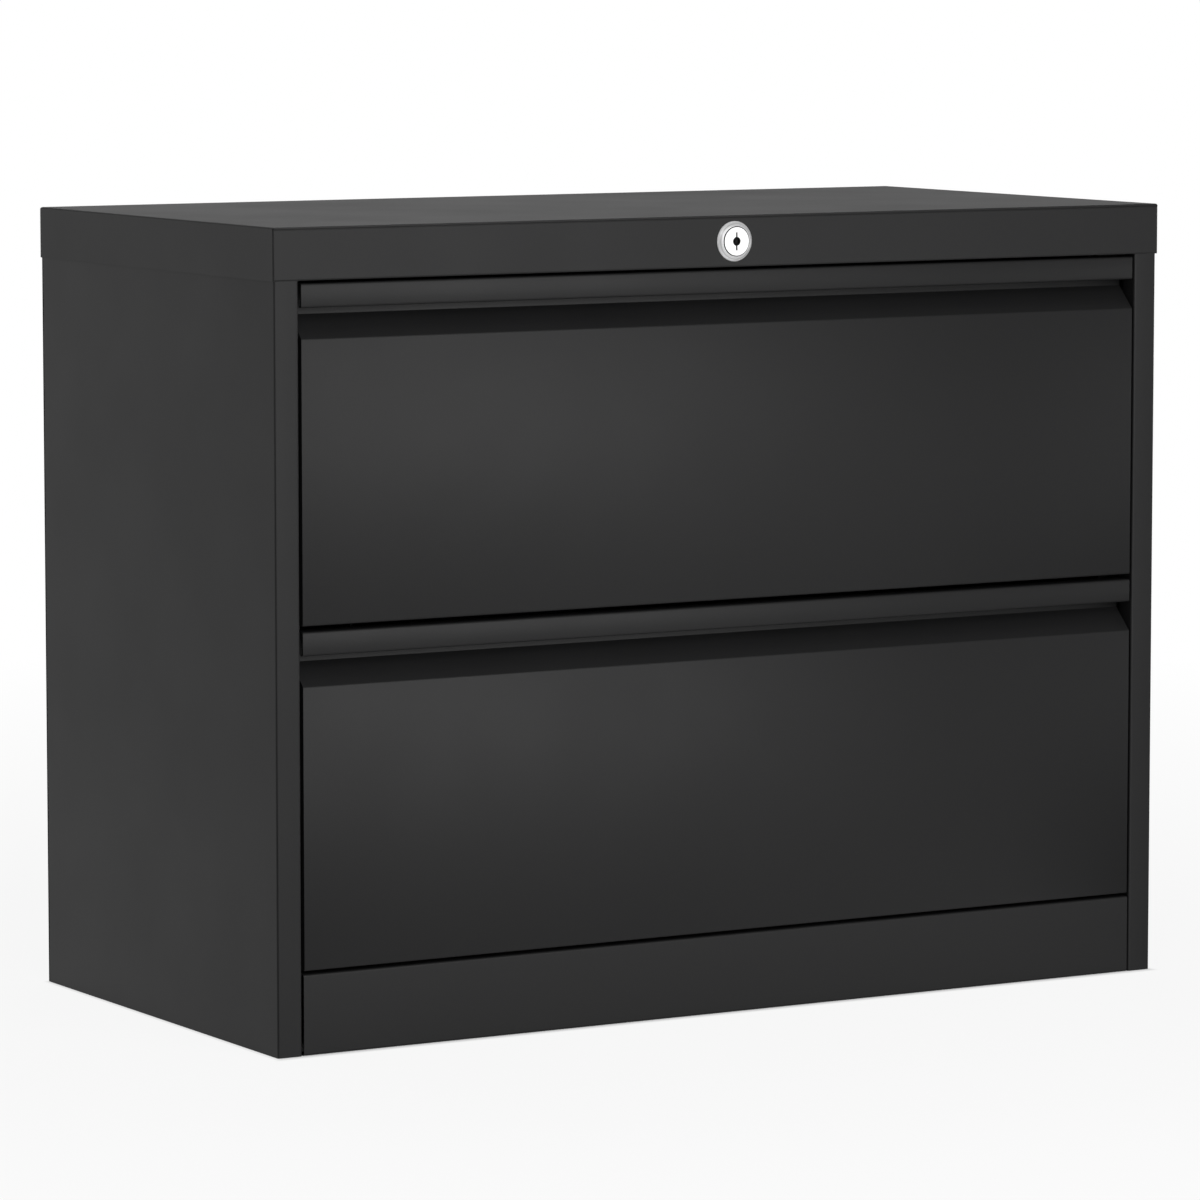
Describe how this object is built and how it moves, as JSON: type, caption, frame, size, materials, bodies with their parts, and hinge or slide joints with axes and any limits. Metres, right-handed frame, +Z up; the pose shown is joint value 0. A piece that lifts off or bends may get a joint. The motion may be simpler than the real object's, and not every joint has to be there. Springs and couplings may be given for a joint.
{
  "type": "lateral file cabinet",
  "caption": "Low, wide steel file cabinet with full-width drawers on ball slides, recessed pulls under a folded lip, a plinth and a central lock in the top's front edge.",
  "frame": {"origin": "on the floor, under the middle of the whole outline, lock included", "axes": "+X to the right seen from the front, +Y to the back, +Z up; the drawers open towards -Y"},
  "size_m": [0.9, 0.4544, 0.7],
  "materials": {
    "black_coat": "matte black powder coat with a fine texture",
    "zinc_steel": "bright zinc plate on pressed steel",
    "lock_chrome": "bright chrome plate"
  },
  "bodies": {
    "cabinet": {"top_cap": "black_coat", "back_panel": "black_coat", "base_pan": "black_coat", "kick_plate": "black_coat", "top_front_rail": "black_coat", "glide_brackets": "zinc_steel", "lock_housing": "lock_chrome", "lock_nut": "zinc_steel", "drive_bar_guides": "zinc_steel", "lock_bar_guides": "zinc_steel", "left_side_panel": "black_coat", "right_side_panel": "black_coat", "front_left_upright": "zinc_steel", "front_right_upright": "zinc_steel", "rear_left_upright": "zinc_steel", "rear_right_upright": "zinc_steel", "lower_left_slide_outer": "zinc_steel", "lower_right_slide_outer": "zinc_steel", "upper_left_slide_outer": "zinc_steel", "upper_right_slide_outer": "zinc_steel"},
    "lower_drawer": {"lower_drawer_front": "black_coat", "lower_front_inner_panel": "black_coat", "lower_drawer_back": "black_coat", "lower_drawer_bottom": "black_coat", "lower_front_ledge": "black_coat", "lower_hanging_rails": "zinc_steel", "lower_lock_strike": "zinc_steel", "lower_left_drawer_wall": "black_coat", "lower_right_drawer_wall": "black_coat", "lower_left_slide_inner": "zinc_steel", "lower_right_slide_inner": "zinc_steel"},
    "lower_slide_middles": {"lower_left_slide_middle": "zinc_steel", "lower_right_slide_middle": "zinc_steel"},
    "lower_outer_cages": {"lower_outer_ball_cages": "zinc_steel"},
    "lower_inner_cages": {"lower_inner_ball_cages": "zinc_steel"},
    "upper_drawer": {"upper_drawer_front": "black_coat", "upper_front_inner_panel": "black_coat", "upper_drawer_back": "black_coat", "upper_drawer_bottom": "black_coat", "upper_front_ledge": "black_coat", "upper_hanging_rails": "zinc_steel", "upper_lock_strike": "zinc_steel", "upper_left_drawer_wall": "black_coat", "upper_right_drawer_wall": "black_coat", "upper_left_slide_inner": "zinc_steel", "upper_right_slide_inner": "zinc_steel"},
    "upper_slide_middles": {"upper_left_slide_middle": "zinc_steel", "upper_right_slide_middle": "zinc_steel"},
    "upper_outer_cages": {"upper_outer_ball_cages": "zinc_steel"},
    "upper_inner_cages": {"upper_inner_ball_cages": "zinc_steel"},
    "lock_core": {"lock_core": "lock_chrome", "lock_cam": "zinc_steel"},
    "drive_bar": {"drive_bar": "zinc_steel"},
    "lock_bar": {"lock_bar": "zinc_steel"},
    "front_left_glide": {"front_left_glide": "zinc_steel"},
    "front_right_glide": {"front_right_glide": "zinc_steel"},
    "rear_left_glide": {"rear_left_glide": "zinc_steel"},
    "rear_right_glide": {"rear_right_glide": "zinc_steel"}
  },
  "joints": [
    {"name": "lower_drawer_slide", "type": "slide", "parent": "cabinet", "child": "lower_drawer", "axis": [0, -1, 0], "range_m": [0, 0.3814]},
    {"name": "lower_slide_middles_slide", "type": "slide", "parent": "cabinet", "child": "lower_slide_middles", "axis": [0, -1, 0], "range_m": [0, 0.1907]},
    {"name": "lower_outer_cages_slide", "type": "slide", "parent": "cabinet", "child": "lower_outer_cages", "axis": [0, -1, 0], "range_m": [0, 0.09535]},
    {"name": "lower_inner_cages_slide", "type": "slide", "parent": "cabinet", "child": "lower_inner_cages", "axis": [0, -1, 0], "range_m": [0, 0.28605]},
    {"name": "upper_drawer_slide", "type": "slide", "parent": "cabinet", "child": "upper_drawer", "axis": [0, -1, 0], "range_m": [0, 0.3814]},
    {"name": "upper_slide_middles_slide", "type": "slide", "parent": "cabinet", "child": "upper_slide_middles", "axis": [0, -1, 0], "range_m": [0, 0.1907]},
    {"name": "upper_outer_cages_slide", "type": "slide", "parent": "cabinet", "child": "upper_outer_cages", "axis": [0, -1, 0], "range_m": [0, 0.09535]},
    {"name": "upper_inner_cages_slide", "type": "slide", "parent": "cabinet", "child": "upper_inner_cages", "axis": [0, -1, 0], "range_m": [0, 0.28605]},
    {"name": "lock_turn", "type": "hinge", "parent": "cabinet", "child": "lock_core", "pos_m": [0, -0.22275, 0.6775], "axis": [0, 1, 0], "range_deg": [0, 90]},
    {"name": "drive_bar_slide", "type": "slide", "parent": "cabinet", "child": "drive_bar", "axis": [-1, 0, 0], "range_m": [0, 0.0198]},
    {"name": "lock_bar_slide", "type": "slide", "parent": "cabinet", "child": "lock_bar", "axis": [0, 0, 1], "range_m": [0, 0.01201]},
    {"name": "front_left_glide_screw", "type": "slide", "parent": "cabinet", "child": "front_left_glide", "axis": [0, 0, -1], "range_m": [0, 0.012]},
    {"name": "front_right_glide_screw", "type": "slide", "parent": "cabinet", "child": "front_right_glide", "axis": [0, 0, -1], "range_m": [0, 0.012]},
    {"name": "rear_left_glide_screw", "type": "slide", "parent": "cabinet", "child": "rear_left_glide", "axis": [0, 0, -1], "range_m": [0, 0.012]},
    {"name": "rear_right_glide_screw", "type": "slide", "parent": "cabinet", "child": "rear_right_glide", "axis": [0, 0, -1], "range_m": [0, 0.012]}
  ],
  "couplings": [
    {"joint": "lower_slide_middles_slide", "follows": "lower_drawer_slide", "ratio": 0.5},
    {"joint": "lower_outer_cages_slide", "follows": "lower_drawer_slide", "ratio": 0.25},
    {"joint": "lower_inner_cages_slide", "follows": "lower_drawer_slide", "ratio": 0.75},
    {"joint": "upper_slide_middles_slide", "follows": "upper_drawer_slide", "ratio": 0.5},
    {"joint": "upper_outer_cages_slide", "follows": "upper_drawer_slide", "ratio": 0.25},
    {"joint": "upper_inner_cages_slide", "follows": "upper_drawer_slide", "ratio": 0.75},
    {"joint": "lock_turn", "follows": "drive_bar_slide", "rad_per_m": 79.333},
    {"joint": "lock_bar_slide", "follows": "drive_bar_slide", "ratio": 0.60606}
  ]
}
